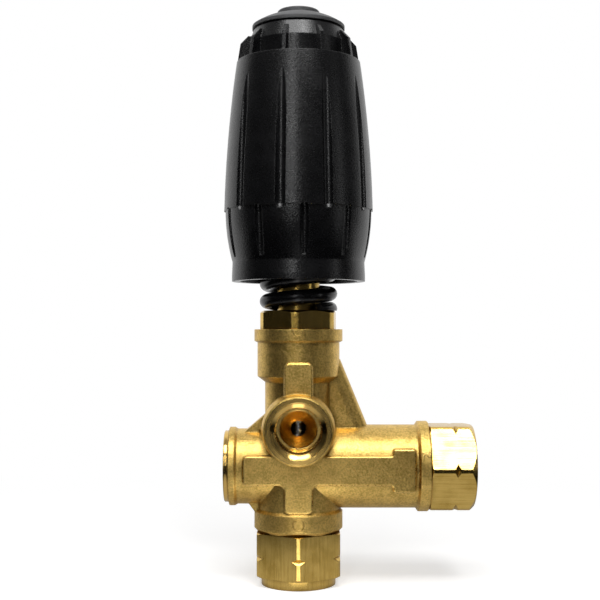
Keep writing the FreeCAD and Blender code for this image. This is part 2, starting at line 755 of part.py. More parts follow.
def make_guide(document, d, z):
    """The hexagon that closes the body, with its nose, shank, spring spigot and seal grooves."""
    corner_r = d.guide_corner_r
    thread = d.thread_r - d.thread_gap
    nose_r = d.piston_bore_r - d.running_gap
    groove_r = nose_r - d.guide_ring_r * 2
    bore_r = d.rod_r + d.running_gap
    low = z.top_thread - d.guide_nose_len
    groove_low = low + d.guide_nose_len / 2 - d.guide_ring_r * GROOVE_ROOM
    groove_high = groove_low + d.guide_ring_r * (2 * GROOVE_ROOM)
    hex_top = z.top + d.guide_hex_len
    spigot_top = hex_top + d.spigot_len
    seal_low = z.top_thread + d.rod_groove_up
    seal_high = seal_low + d.rod_groove_len
    seal_r = bore_r + d.rod_groove_depth
    wiper_r = bore_r + d.wiper_depth
    body = turned(document, "piston_guide", [
        (bore_r, low), (nose_r, low), (nose_r, groove_low), (groove_r, groove_low),
        (groove_r, groove_high), (nose_r, groove_high), (nose_r, z.top_thread + d.thread_gap),
        (thread, z.top_thread + d.thread_gap), (thread, z.top), (corner_r, z.top),
        (corner_r, hex_top - d.guide_chamfer), (corner_r - d.guide_chamfer * 2, hex_top),
        (d.spigot_r, hex_top),
        (d.spigot_r, spigot_top - d.guide_chamfer), (d.spigot_r - d.guide_chamfer, spigot_top),
        (wiper_r, spigot_top), (wiper_r, spigot_top - d.wiper_len),
        (bore_r, spigot_top - d.wiper_len), (bore_r, seal_high), (seal_r, seal_high),
        (seal_r, seal_low), (bore_r, seal_low)])
    mill_flats(body, d.guide_across, z.top, d.guide_hex_len, phase=CORNER_TO_FRONT + GUIDE_TURN)
    guide_ring = ring(document, "guide_o_ring", nose_r - d.guide_ring_r + d.running_gap / 2,
                      d.guide_ring_r)
    place(guide_ring, z=(groove_low + groove_high) / 2)
    rod_ring = ring(document, "rod_seal", d.rod_r + d.seal_gap + d.rod_ring_r, d.rod_ring_r)
    place(rod_ring, z=seal_low + d.rod_ring_r + d.seal_gap)
    backup_low = seal_low + d.rod_ring_r * 2 + d.seal_gap * 2
    backup = tube(document, "rod_backup_ring", d.rod_r + d.seal_gap, seal_r - d.seal_gap,
                  d.backup_len)
    place(backup, z=backup_low)
    wiper = turned(document, "rod_wiper", [
        (d.rod_r + d.seal_gap, 0), (wiper_r - d.seal_gap, 0),
        (wiper_r - d.seal_gap, d.wiper_len), (d.rod_r + d.seal_gap * 4, d.wiper_len),
        (d.rod_r + d.seal_gap, d.wiper_len - d.wiper_lip_len)])
    place(wiper, z=spigot_top - d.wiper_len)
    return [body, guide_ring, rod_ring, backup, wiper]


def make_rod(document, d, z):
    """The piston turned in one piece with its tip and the threaded rod, and its two rings."""
    piston_r = d.piston_bore_r - d.running_gap
    groove_r = piston_r - d.piston_groove_depth
    groove_low = z.piston + d.piston_len / 2 - d.piston_groove_len / 2
    groove_high = groove_low + d.piston_groove_len
    piston_top = z.piston + d.piston_len
    end = d.rod_end_chamfer
    rod = turned(document, "piston_rod", [
        (0, z.rod_tip), (d.tip_r, z.rod_tip), (d.tip_r, z.piston), (piston_r, z.piston),
        (piston_r, groove_low), (groove_r, groove_low), (groove_r, groove_high),
        (piston_r, groove_high), (piston_r, piston_top), (d.stop_boss_r, piston_top),
        (d.stop_boss_r, piston_top + d.stop_boss_len), (d.rod_r, piston_top + d.stop_boss_len),
        (d.rod_r, z.rod_end - end), (d.rod_r - end, z.rod_end), (0, z.rod_end)])
    seal = ring(document, "piston_o_ring", d.piston_bore_r - d.seal_gap - d.piston_ring_r,
                d.piston_ring_r)
    place(seal, z=groove_low + d.piston_ring_r + d.seal_gap)
    backup = tube(document, "piston_backup_ring", groove_r + d.seal_gap,
                  d.piston_bore_r - d.seal_gap, d.backup_len)
    place(backup, z=groove_low + d.piston_ring_r * 2 + d.seal_gap * 2)
    return [rod, seal, backup]


def make_seat_and_ball(document, d, z):
    """The seat pressed into the body, the ball under it and the light spring that lifts it."""
    outer = d.seat_bore_r - d.seal_gap
    groove = outer - d.seat_ring_r * 2
    low = z.seat + d.seat_bore_len / 2 - d.seat_ring_r * GROOVE_ROOM
    high = low + d.seat_ring_r * (2 * GROOVE_ROOM)
    seat = turned(document, "valve_seat", [
        (d.seat_hole_r, z.seat), (outer, z.seat), (outer, low), (groove, low), (groove, high),
        (outer, high), (outer, z.seat_top), (d.seat_hole_r, z.seat_top)])
    seal = ring(document, "seat_o_ring", d.seat_bore_r - d.seal_gap - d.seat_ring_r,
                d.seat_ring_r)
    place(seal, z=(low + high) / 2)
    ball = document.addObject("Part::Sphere", "shutter_ball")
    bind(ball, "Radius", d.ball_r)
    place(ball, z=z.ball)
    lift = math.sqrt(d.ball_r.number ** 2 - d.ball_spring_mean_r.number ** 2)
    room = z.ball.number - lift - d.ball_spring_wire_r.number - z.ball_spring_foot.number
    room -= d.seal_gap.number * 4
    spring = coil_spring(document, "ball_spring", room, d.ball_spring_mean_r.number,
                         d.ball_spring_wire_r.number, d.ball_spring_turns.number,
                         d.spring_coil_gap.number, sides=FINE_WIRE_SIDES)
    place(spring, z=z.ball_spring_foot)
    return [seat, seal, ball, spring]


def make_check_valve(document, d, z):
    """The poppet that opens towards the outlet, with its face ring and spring."""
    face = d.running_gap
    groove_depth = d.check_ring_r * 2
    inner = d.check_ring_mean_r - d.check_ring_r - d.seal_gap
    outer = d.check_ring_mean_r + d.check_ring_r + d.seal_gap
    poppet = turned(document, "check_poppet", [
        (0, -d.poppet_nose_len), (d.poppet_tip_r, -d.poppet_nose_len), (d.poppet_nose_r, face),
        (inner, face), (inner, face + groove_depth), (outer, face + groove_depth), (outer, face),
        (d.poppet_r, face), (d.poppet_r, d.poppet_len), (d.poppet_tail_r, d.poppet_len),
        (d.poppet_tail_r, d.poppet_len + d.poppet_tail_len), (0, d.poppet_len + d.poppet_tail_len)])
    place(poppet, TO_RIGHT, x=d.check_bore_start, z=z.arm)
    seal = ring(document, "check_o_ring", d.check_ring_mean_r, d.check_ring_r)
    place(seal, TO_RIGHT, x=d.check_bore_start + d.check_ring_r + d.seal_gap, z=z.arm)
    foot = d.check_bore_start + d.poppet_len
    room = d.right_arm_len - d.shank_len - foot
    spring = coil_spring(document, "check_spring", room.number, d.check_spring_mean_r.number,
                         d.check_spring_wire_r.number, d.check_spring_turns.number,
                         d.spring_coil_gap.number, sides=FINE_WIRE_SIDES)
    place(spring, TO_RIGHT, x=foot, z=z.arm)
    return [poppet, seal, spring]


def make_face_rings(document, d, z):
    """The two O-rings in the reliefs under the fittings' hexagons."""
    mean_r = d.thread_r - d.thread_gap - d.face_ring_r
    inlet = place(ring(document, "inlet_o_ring", mean_r, d.face_ring_r), z=z.base + d.relief_len / 2)
    outlet = ring(document, "outlet_o_ring", mean_r, d.face_ring_r)
    place(outlet, TO_RIGHT, x=d.right_arm_len - d.relief_len / 2, z=z.arm)
    return [inlet, outlet]


def make_spring_stack(document, d, z):
    """The main spring, the plate on its upper end and the thrust washer on the plate."""
    mean_r = d.spring_outer_r - d.spring_wire_r
    spring = coil_spring(document, "main_spring", d.spring_len.number, mean_r.number,
                         d.spring_wire_r.number, d.spring_turns.number,
                         d.spring_coil_gap.number, d.spring_start_deg.number)
    place(spring, z=z.spring)
    hole = d.rod_r + d.running_gap
    disc = turned(document, "spring_plate", [
        (hole, -d.plate_spigot_len), (d.plate_spigot_r, -d.plate_spigot_len), (d.plate_spigot_r, 0),
        (d.plate_disc_r, 0), (d.plate_disc_r, d.plate_disc_len), (hole, d.plate_disc_len)])
    place(disc, z=z.plate)
    washer = tube(document, "thrust_washer", hole, d.washer_r, d.washer_len)
    place(washer, z=z.washer)
    return [spring, disc, washer]


def make_knob(document, d, z):
    """The fluted knob in one moulding, drawn from its lower rim at height zero."""
    cavity_top = d.knob_skirt_len
    hub_low = cavity_top + d.running_gap
    well_floor = hub_low + d.insert_len + d.hub_web_len
    crown_top = z.crown - z.rim
    wall_low = d.rim_r - d.knob_wall
    wall_high = d.shoulder_r - d.knob_wall
    shoulder = crown_top - d.crown_rise
    seam_out = d.lower_seam_r + d.seam_step
    pocket_floor = shoulder - d.pocket_depth
    body = turned(document, "knob", [
        (wall_low, 0), (d.rim_r, 0), (d.rim_r, d.rim_len), (d.collar_r, d.collar_len, d.lower_round),
        (d.lower_seam_r, d.seam_up), (seam_out, d.seam_up, d.upper_round), (d.shoulder_r, shoulder),
        (d.shoulder_r - d.shell_lip, shoulder), (d.shoulder_r - d.shell_lip, pocket_floor),
        (d.crown_foot_r, pocket_floor), (d.crown_foot_r, crown_top - d.crown_taper_len),
        (d.crown_r, crown_top), (d.well_r, crown_top), (d.well_r, well_floor),
        (0, well_floor), (0, cavity_top), (wall_high, cavity_top)])
    fin = add_plate(body, [
        (d.crown_foot_r - d.shell_lip / 2, pocket_floor - d.shell_lip),
        (d.shoulder_r - d.shell_lip / 2, pocket_floor - d.shell_lip),
        (d.shoulder_r - d.seam_step / 2, shoulder), (d.fin_bend_r, crown_top - d.fin_bend_down),
        (d.fin_top_r, crown_top - d.fin_top_down),
        (d.crown_r + d.seam_step / 2, crown_top - d.fin_top_down)], d.fin_half)
    document.recompute()
    repeat_round(body, fin, d.flute_count)
    cut_flute(body, d, d.upper_flute_r, (seam_out, d.seam_up - d.upper_flute_low + d.upper_flute_r),
              (d.upper_fade_r + d.upper_flute_r, shoulder - d.upper_fade_len), 0.0)
    half_step = FULL_TURN / d.flute_count.number / 2
    cut_flute(body, d, d.lower_flute_r, (d.lower_seam_r, d.seam_up + d.lower_flute_high - d.lower_flute_r),
              (d.collar_r + d.lower_flute_r, d.lower_flute_end_up), half_step)
    drill_hub(body, d, hub_low)
    return place_turned(body, d.flute_turn_deg, z.rim)


def cut_flute(body, d, radius, closed_end, open_end, turn):
    """Cuts a round-nosed groove along the barrel and repeats it round the knob.

    The nose is at closed_end. The groove's axis rises off the barrel towards open_end, so
    that the groove fades out there."""
    run = FreeCAD.Vector(open_end[0].number - closed_end[0].number,
                         open_end[1].number - closed_end[1].number, 0)
    along = run.normalize()
    side = FreeCAD.Vector(-along.y, along.x, 0)
    if side.x < 0:
        side = -side
    nose = (closed_end[0] + radius * -along.x, closed_end[1] + radius * -along.y)
    rim_start = (closed_end[0] + radius * side.x, closed_end[1] + radius * side.y)
    rim_end = (open_end[0] + radius * side.x, open_end[1] + radius * side.y)
    slope = math.sqrt(0.5)
    shoulder = (closed_end[0] + radius * ((side.x - along.x) * slope),
                closed_end[1] + radius * ((side.y - along.y) * slope))
    outline = [nose, shoulder, rim_start, rim_end, open_end]
    sketch = add_sketch(body, "XZ_Plane", outline, turn=turn)
    axis_start = FreeCAD.Vector(closed_end[0].number, closed_end[1].number, 0)
    axis_end = FreeCAD.Vector(open_end[0].number, open_end[1].number, 0)
    line = sketch.addGeometry(Part.LineSegment(axis_start, axis_end), True)
    pin_point(sketch, line, 1, "DistanceX", closed_end[0])
    pin_point(sketch, line, 1, "DistanceY", closed_end[1])
    pin_point(sketch, line, 2, "DistanceX", open_end[0])
    pin_point(sketch, line, 2, "DistanceY", open_end[1])
    groove = body.newObject("PartDesign::Groove", "Flute")
    groove.Profile = sketch
    groove.ReferenceAxis = (sketch, ["Axis0"])
    groove.Angle = FULL_TURN
    body.Document.recompute()
    repeat_round(body, groove, d.flute_count)


def drill_hub(body, d, hub_low):
    """The hexagon socket of the insert and the rod's hole above it."""
    over = d.cut_over
    socket = add_sketch(body, "XY_Plane", hexagon(d.insert_across, 0.0), up=d.knob_skirt_len - over)
    cut_up(body, socket, hub_low + d.insert_len - d.knob_skirt_len + over, "Socket")
    hole_r = d.rod_r + d.thread_hole_gap
    step = 2 * math.pi / ROD_HOLE_SIDES
    rim = [(hole_r * math.cos(step * k), hole_r * math.sin(step * k)) for k in range(ROD_HOLE_SIDES)]
    hole = add_sketch(body, "XY_Plane", rim, up=hub_low + d.insert_len - over)
    cut_up(body, hole, d.hub_web_len + over * 2, "RodHole")


def make_insert_nut_cap(document, d, z):
    """The brass insert in the knob's hub, the stop nut on the rod and the grey cap."""
    hole = d.rod_r + d.thread_hole_gap
    insert = turned(document, "knob_insert", [
        (hole, 0), (d.insert_across / ROOT_THREE, 0),
        (d.insert_across / ROOT_THREE, d.insert_len), (hole, d.insert_len)])
    mill_flats(insert, d.insert_across - d.insert_gap * 2, 0.0, d.insert_len, phase=0.0)
    place_turned(insert, d.flute_turn_deg, z.insert)
    nut = turned(document, "stop_nut", [
        (hole, 0), (d.stop_nut_r, 0), (d.stop_nut_r, d.stop_nut_len), (hole, d.stop_nut_len)])
    mill_flats(nut, d.stop_nut_r * ROOT_THREE, 0.0, d.stop_nut_len)
    place(nut, z=z.nut)
    plug_r = d.well_r - d.running_gap
    rim_top = d.cap_rim_len
    cap = turned(document, "knob_cap", [
        (plug_r - d.cap_plug_wall, -d.cap_plug_len), (plug_r, -d.cap_plug_len), (plug_r, 0),
        (d.cap_r, 0), (d.cap_r, rim_top, d.cap_dome_radius), (d.button_r, d.cap_dome_up),
        (d.button_r, d.cap_dome_up + d.button_len - d.button_round),
        (d.button_r - d.button_round, d.cap_dome_up + d.button_len),
        (0, d.cap_dome_up + d.button_len), (0, d.cap_dome_up - d.cap_plug_wall / 2),
        (d.button_r, d.cap_dome_up - d.cap_plug_wall), (plug_r - d.cap_plug_wall, 0)])
    place(cap, z=z.cap)
    return [insert, nut, cap]


def heights(d):
    """The levels of the stack, each one from the pieces under it."""
    z = SimpleNamespace()
    z.base = d.lip_len + d.inlet_hex_len
    z.arm = z.base + d.arm_up
    z.port = z.arm + d.boss_up
    z.top = z.base + d.body_len
    z.inlet_bore = z.base + d.shank_len + d.thread_gap
    z.ball_spring_foot = z.base + d.shank_len - d.ball_spring_shelf
    z.seat = z.arm + d.flow_r + d.seat_web
    z.seat_top = z.seat + d.seat_bore_len
    sink = math.sqrt(d.ball_r.number ** 2 - d.seat_hole_r.number ** 2)
    z.ball = z.seat - sink - d.seal_gap
    z.top_thread = z.top - d.top_thread_len
    guide_low = z.top_thread - d.guide_nose_len
    z.piston = guide_low - d.running_gap - d.stop_boss_len - d.piston_len
    z.piston_bore = z.piston - d.stroke - d.piston_foot_room
    z.rod_tip = z.ball + d.ball_r + d.seal_gap
    z.spring = z.top + d.guide_hex_len
    z.plate = z.spring + d.spring_len
    z.washer = z.plate + d.plate_disc_len
    z.insert = z.washer + d.washer_len + d.running_gap
    z.rim = z.insert - d.knob_skirt_len - d.running_gap
    z.nut = z.insert + d.insert_len + d.hub_web_len + d.stop_nut_gap
    z.rod_end = z.insert + d.rod_tail_len
    z.crown = z.nut + d.stop_nut_len + d.cap_room
    z.cap = z.crown + d.cap_gap
    return z


def check_document(document, parts):
    """Stops the build if a feature failed or a sub-part is not a sound solid."""
    for item in document.Objects:
        if "Invalid" in item.State or "Error" in item.State:
            raise RuntimeError(f"{item.Label} failed: {item.State}")
    for item in parts:
        shape = item.Shape
        if shape.isNull() or not shape.isValid() or not shape.Solids:
            raise RuntimeError(f"{item.Label} is not a sound solid")


def main():
    document = FreeCAD.newDocument("unloader_valve")
    d = write_sheet(document)
    z = heights(d)
    parts = [make_inlet_fitting(document, d, z), make_outlet_fitting(document, d, z),
             make_body(document, d, z)]
    parts += make_guide(document, d, z)
    parts += make_rod(document, d, z)
    parts += make_seat_and_ball(document, d, z)
    parts += make_check_valve(document, d, z)
    parts += make_face_rings(document, d, z)
    parts += make_spring_stack(document, d, z)
    parts.append(make_knob(document, d, z))
    parts += make_insert_nut_cap(document, d, z)
    document.recompute()
    check_document(document, parts)
    os.makedirs("parts", exist_ok=True)
    for item in parts:
        item.Shape.exportStep(f"parts/{item.Label}.step")
        print(f"{item.Label}: {item.Shape.Volume:.1f} mm3, {len(item.Shape.Solids)} solid")


main()
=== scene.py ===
"""Looks of a pressure washer's unloader valve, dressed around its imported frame, in metres."""

import json
import logging
import math
from dataclasses import dataclass, field
from enum import Enum
from typing import Any, Iterable, Sequence

import bpy
from mathutils import Matrix, Vector

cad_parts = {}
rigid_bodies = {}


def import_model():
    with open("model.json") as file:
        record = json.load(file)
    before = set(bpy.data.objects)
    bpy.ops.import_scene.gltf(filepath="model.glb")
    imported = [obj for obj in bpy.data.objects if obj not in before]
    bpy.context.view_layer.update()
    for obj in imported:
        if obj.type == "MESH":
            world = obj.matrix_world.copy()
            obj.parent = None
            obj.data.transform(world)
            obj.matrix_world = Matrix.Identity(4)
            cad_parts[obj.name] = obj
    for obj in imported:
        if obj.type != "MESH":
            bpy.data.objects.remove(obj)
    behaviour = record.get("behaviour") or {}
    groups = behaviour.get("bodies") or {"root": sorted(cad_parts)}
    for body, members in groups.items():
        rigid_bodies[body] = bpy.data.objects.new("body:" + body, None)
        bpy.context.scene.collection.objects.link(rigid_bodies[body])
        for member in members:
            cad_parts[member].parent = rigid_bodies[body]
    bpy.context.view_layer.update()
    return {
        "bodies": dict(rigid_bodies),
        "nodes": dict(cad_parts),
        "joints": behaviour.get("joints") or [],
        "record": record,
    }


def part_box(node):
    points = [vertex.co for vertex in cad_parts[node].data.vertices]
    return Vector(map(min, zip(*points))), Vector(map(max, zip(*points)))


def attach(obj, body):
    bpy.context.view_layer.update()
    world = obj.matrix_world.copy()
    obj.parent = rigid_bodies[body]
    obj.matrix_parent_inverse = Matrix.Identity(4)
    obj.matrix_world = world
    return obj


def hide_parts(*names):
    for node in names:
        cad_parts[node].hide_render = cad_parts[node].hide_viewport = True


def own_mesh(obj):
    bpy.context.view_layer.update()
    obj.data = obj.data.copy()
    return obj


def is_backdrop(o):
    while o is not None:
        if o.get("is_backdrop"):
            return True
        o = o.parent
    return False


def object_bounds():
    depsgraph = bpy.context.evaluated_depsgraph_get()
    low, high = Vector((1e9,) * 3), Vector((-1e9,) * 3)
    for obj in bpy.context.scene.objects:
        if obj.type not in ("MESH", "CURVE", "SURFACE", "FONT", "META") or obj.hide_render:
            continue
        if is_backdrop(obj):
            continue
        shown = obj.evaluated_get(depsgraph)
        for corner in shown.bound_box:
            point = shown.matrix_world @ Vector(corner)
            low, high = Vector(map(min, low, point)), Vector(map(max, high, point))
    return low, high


LOG = logging.getLogger("unloader_valve")
MM = 0.001
TURN = 2 * math.pi
SHARP_ANGLE = math.radians(50)
WHITE = (1.0, 1.0, 1.0)
Colour = tuple[float, float, float]
Frame = dict[str, Any]


class Axis(Enum):
    """Which way a turned or drawn piece runs."""

    X = 0
    Y = 1
    Z = 2

    def stretch(self, along: float, across: float) -> tuple[float, ...]:
        """Scales for the three axes: one along this axis and one across it."""
        return tuple(along if k == self.value else across for k in range(3))


class Flow:
    """One socket of a node tree, on which Python's operators add Math nodes."""

    def __init__(self, tree: "Tree", socket: bpy.types.NodeSocket) -> None:
        """Wraps a socket of that tree."""
        self.tree = tree
        self.socket = socket

    def _maths(self, operation: str, *values: "Flow | float", clamp: bool = False) -> "Flow":
        """Adds a Math node.

        Args:
            operation: The node's operation.
            values: Its inputs in order, numbers or flows.
            clamp: Whether the result is kept between 0 and 1.

        Returns:
            The node's result.
        """
        settings = {"operation": operation, "use_clamp": clamp}
        return self.tree.node("ShaderNodeMath", settings, dict(enumerate(values)))

    def __add__(self, other: "Flow | float") -> "Flow":
        """Sum."""
        return self._maths("ADD", self, other)

    __radd__ = __add__

    def __sub__(self, other: "Flow | float") -> "Flow":
        """Difference."""
        return self._maths("SUBTRACT", self, other)

    def __rsub__(self, other: "Flow | float") -> "Flow":
        """Difference from a number."""
        return self._maths("SUBTRACT", other, self)

    def __mul__(self, other: "Flow | float") -> "Flow":
        """Product."""
        return self._maths("MULTIPLY", self, other)

    __rmul__ = __mul__

    def __pow__(self, other: "Flow | float") -> "Flow":
        """Power."""
        return self._maths("POWER", self, other)

    def __gt__(self, other: "Flow | float") -> "Flow":
        """1 where this is the larger, else 0."""
        return self._maths("GREATER_THAN", self, other)

    def __lt__(self, other: "Flow | float") -> "Flow":
        """1 where this is the smaller, else 0."""
        return self._maths("LESS_THAN", self, other)

    def held(self) -> "Flow":
        """Kept between 0 and 1."""
        return self._maths("ADD", self, 0.0, clamp=True)

    def most(self, other: "Flow | float") -> "Flow":
        """The larger of two."""
        return self._maths("MAXIMUM", self, other)

    def rise(self, low: float, high: float) -> "Flow":
        """Goes smoothly from 0 at low to 1 at high."""
        sockets = {"Value": self, "From Min": low, "From Max": high}
        return self.tree.node("ShaderNodeMapRange", {"interpolation_type": "SMOOTHSTEP"}, sockets)


class Tree:
    """The node tree of one material or world, and the ways to add to it."""

    def __init__(self, owner: bpy.types.Material | bpy.types.World) -> None:
        """Empties the tree of a material or world.

        Args:
            owner: Whose tree it is.
        """
        owner.use_nodes = True
        self.nodes = owner.node_tree.nodes
        self.links = owner.node_tree.links
        self.nodes.clear()

    def raw(self, kind: str, settings: dict[str, Any], sockets: dict[Any, Any]) -> bpy.types.Node:
        """Adds a node.

        Args:
            kind: The node's type.
            settings: Its properties, such as a Math node's operation.
            sockets: Values or flows of its inputs, by name or number.

        Returns:
            The node.
        """
        node = self.nodes.new(kind)
        for name, value in settings.items():
            setattr(node, name, value)
        for name, value in sockets.items():
            if isinstance(value, Flow):
                self.links.new(value.socket, node.inputs[name])
            elif isinstance(value, tuple) and node.inputs[name].type == "RGBA":
                node.inputs[name].default_value = (*value, 1.0)
            else:
                node.inputs[name].default_value = value
        return node

    def node(self, kind: str, settings: dict[str, Any], sockets: dict[Any, Any],
             out: int | str = 0) -> Flow:
        """Adds a node and returns one of its outputs; the arguments are those of raw."""
        return Flow(self, self.raw(kind, settings, sockets).outputs[out])

    def place(self) -> Flow:
        """Where a point is in its own object, in metres."""
        return self.node("ShaderNodeTexCoord", {}, {}, "Object")

    def parts(self, vector: Flow) -> tuple[Flow, ...]:
        """The three coordinates of a vector."""
        node = self.raw("ShaderNodeSeparateXYZ", {}, {0: vector})
        return tuple(Flow(self, output) for output in node.outputs)

    def rays(self) -> tuple[Flow, ...]:
        """Tells where a ray comes from.

        Returns:
            1 for rays from the camera, 1 for rays from mirrors, and 1 for rays through glass.
        """
        path = self.raw("ShaderNodeLightPath", {}, {})
        names = ("Is Camera Ray", "Is Glossy Ray", "Is Transmission Ray")
        return tuple(Flow(self, path.outputs[name]) for name in names)

    def scaled(self, vector: Flow, scale: Sequence[float]) -> Flow:
        """A vector stretched along the three axes."""
        sockets = {0: vector, 1: tuple(scale)}
        return self.node("ShaderNodeVectorMath", {"operation": "MULTIPLY"}, sockets)

    def noise(self, place: Flow, grain: float, detail: float = 2.0, rough: float = 0.5) -> Flow:
        """Soft noise from 0 to 1 whose spots are about grain metres wide."""
        sockets = {"Vector": place, "Scale": 1 / grain, "Detail": detail, "Roughness": rough}
        return self.node("ShaderNodeTexNoise", {}, sockets)

    def dents(self, place: Flow, grain: float) -> Flow:
        """Distance to scattered points about grain metres apart."""
        return self.node("ShaderNodeTexVoronoi", {}, {"Vector": place, "Scale": 1 / grain})

    def blend(self, share: Flow, first: Flow | Colour, second: Flow | Colour) -> Flow:
        """A colour between two."""
        settings = {"data_type": "RGBA"}
        return self.node("ShaderNodeMix", settings, {0: share, 6: first, 7: second}, 2)

    def shadow(self, reach: float) -> Flow:
        """1 in the open, down to 0 in a crease narrower than reach."""
        sockets = {"Distance": reach}
        return self.node("ShaderNodeAmbientOcclusion", {"samples": 6}, sockets, "AO")

    def relief(self, height: Flow, depth: float, edge: float) -> Flow:
        """Turns a height map into a normal, on edges that look rounded.

        Args:
            height: The height map, from 0 to about 1.
            depth: How deep it is.
            edge: The radius of the rounded edges, or 0 for none.

        Returns:
            The normal.
        """
        if not edge:
            return self.node("ShaderNodeBump", {}, {"Distance": depth, "Height": height})
        rounded = self.node("ShaderNodeBevel", {"samples": 4}, {"Radius": edge})
        sockets = {"Strength": 1.0, "Distance": depth, "Height": height, "Normal": rounded}
        return self.node("ShaderNodeBump", {}, sockets)

    def surface(self, **sockets: Flow | float) -> None:
        """Ends the tree in a Principled shader.

        Args:
            sockets: The shader's inputs by name, with underscores for spaces.
        """
        named = {name.replace("_", " "): value for name, value in sockets.items()}
        shader = self.node("ShaderNodeBsdfPrincipled", {}, named)
        self.raw("ShaderNodeOutputMaterial", {}, {"Surface": shader})


class Finish:
    """A surface finish: each kind paints its own material."""

    name: str

    def paint(self, tree: Tree) -> None:
        """Builds the material's nodes."""
        raise NotImplementedError

    def material(self) -> bpy.types.Material:
        """Gives the finish's material, made on its first use.

        Returns:
            The material.
        """
        name = f"{self.name}_finish"
        made = bpy.data.materials.get(name)
        if made is None:
            made = bpy.data.materials.new(name)
            self.paint(Tree(made))
        return made


@dataclass(frozen=True)
class ForgedBrass(Finish):
    """Shot-blasted forging whose ports, rings and faces are turned bright."""

    name: str = "forged_brass"
    valley: Colour = (0.57, 0.375, 0.095)
    crest: Colour = (0.88, 0.61, 0.185)
    bright: Colour = (0.84, 0.56, 0.17)
    stain: Colour = (0.50, 0.30, 0.075)
    # Colour of the painted shade in creases and at the feet of the plates.
    crease: Colour = (0.12, 0.065, 0.013)
    grain: float = 0.62 * MM
    mottle_size: float = 2.6 * MM
    patch_size: float = 11.0 * MM
    crease_shade_reach: float = 1.8 * MM
    lathe_size: float = 0.25 * MM
    lathe_stretch: float = 0.08
    dent: float = 0.09 * MM
    edge: float = 0.55 * MM
    port_up: float = 51.4 * MM
    port_reach: float = 10.45 * MM
    port_front: float = -15.7 * MM
    bore_reach: float = 9.0 * MM
    bore_front: float = -4.0 * MM
    ring_left: float = -22.85 * MM
    collar_right: float = 42.35 * MM
    deck_up: float = 83.4 * MM
    base_up: float = 17.6 * MM
    upright_bore_r: float = 10.35 * MM
    plate_front: float = -14.15 * MM
    plate_rim: float = -13.55 * MM
    plate_low: float = 24.4 * MM
    plate_high: float = 73.5 * MM
    boss_reach: float = 11.6 * MM
    recess_r: float = 8.9 * MM
    recess_front: float = -18.3 * MM
    recess_slope: float = 0.6
    blasted_roughness: float = 0.32
    turned_roughness: float = 0.10

    def turned(self, x: Flow, y: Flow, z: Flow, out: Flow) -> Flow:
        """Finds the ports, rings and faces that were turned after forging.

        Args:
            x: How far a point is to the right.
            y: How far it is to the back.
            z: How high it is.
            out: How far it is from the front port's axis.

        Returns:
            1 where the metal is turned, 0 on the blasted skin.
        """
        port = (out < self.port_reach) * (y < self.port_front)
        bore = (out < self.bore_reach) * (y < self.bore_front)
        ends = (x < self.ring_left).most(x > self.collar_right)
        decks = (z > self.deck_up).most(z < self.base_up)
        upright = (x * x + y * y) ** 0.5 < self.upright_bore_r
        return port.most(bore).most(ends).most(decks).most(upright)

    def paint(self, tree: Tree) -> None:
        """Mixes blasted and turned surfaces by place.

        Args:
            tree: The material's nodes.
        """
        place = tree.place()
        x, y, z = tree.parts(place)
        out = (x * x + (z - self.port_up) ** 2) ** 0.5
        turned = self.turned(x, y, z, out)
        fine = tree.noise(place, self.grain, 3.0, 0.65)
        dents = tree.dents(place, self.grain * 1.3)
        mottle = tree.noise(place, self.mottle_size, 3.0)
        patch = tree.noise(place, self.patch_size)
        # Painted shade: ambient occlusion darkens creases and plate feet towards the crease colour.
        crease_shade = 1 - tree.shadow(self.crease_shade_reach)
        # Band round the plate edges, painted brighter and smoother: partly real polish of worn edges,
        # partly a painted highlight.
        edge_polish_and_highlight = (y > self.plate_front) * (y < self.plate_rim) * (out > self.boss_reach)
        edge_polish_and_highlight = edge_polish_and_highlight * (z > self.plate_low) * (z < self.plate_high) * (1 - turned)
        skin = tree.blend((mottle * 0.35 + fine * 0.75).rise(0.40, 0.68), self.valley, self.crest)
        skin = tree.blend(patch.rise(0.5, 0.72) * 0.35, skin, self.stain)
        skin = tree.blend(crease_shade * 0.9, skin, self.crease)
        skin = tree.blend(edge_polish_and_highlight * 0.6, skin, self.bright)
        rings = (self.lathe_stretch, 1.0, self.lathe_stretch)
        lathe = tree.noise(tree.scaled(place, rings), self.lathe_size, 1.0)
        metal = tree.blend(lathe * 0.35, self.bright, self.stain)
        cone = (out < self.recess_r) * (y < self.recess_front) * out * (self.recess_slope / self.dent)
        height = (fine * 0.6 + dents * 0.55) * (1 - turned) + lathe * turned * 0.12 + cone
        dull = fine * 0.22 + self.blasted_roughness - edge_polish_and_highlight * 0.14
        shiny = lathe * 0.08 + self.turned_roughness
        tree.surface(
            Base_Color=tree.blend(turned, skin, metal),
            Metallic=1.0,
            Roughness=dull * (1 - turned) + shiny * turned,
            Normal=tree.relief(height, self.dent, self.edge),
        )


